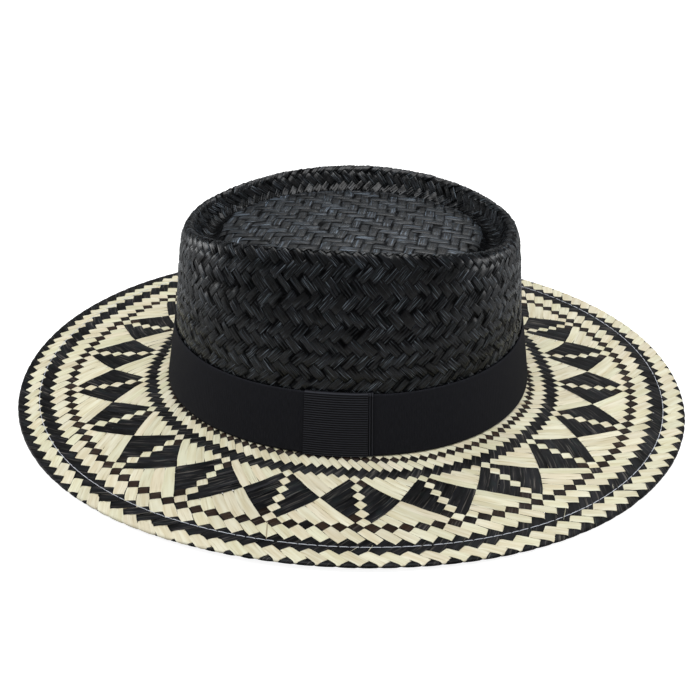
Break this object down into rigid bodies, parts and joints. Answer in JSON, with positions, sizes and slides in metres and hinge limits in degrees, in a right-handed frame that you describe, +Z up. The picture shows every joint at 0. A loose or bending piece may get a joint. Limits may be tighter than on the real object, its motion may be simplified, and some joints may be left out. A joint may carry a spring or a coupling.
{
  "type": "straw hat",
  "caption": "Plaited straw hat: black telescope crown, wide brim with a woven border of triangles in natural and black straw, and a ribbon band with a flat wrap.",
  "frame": {"origin": "on the surface the hat rests on, under the middle of the brim's outline", "axes": "+Z up out of the crown's top, +X along the long axis of the head oval, -Y towards the side with the ribbon's wrap"},
  "size_m": [0.366, 0.313, 0.1104],
  "materials": {
    "crown": "black plaited straw, slightly glossy",
    "brim": "natural and black plaited straw",
    "hat_band": "matt black grosgrain ribbon",
    "band_tab": "matt black grosgrain ribbon, ribs across"
  },
  "bodies": {
    "root": {"crown": "crown", "brim": "brim", "hat_band": "hat_band", "band_tab": "band_tab"}
  },
  "joints": []
}
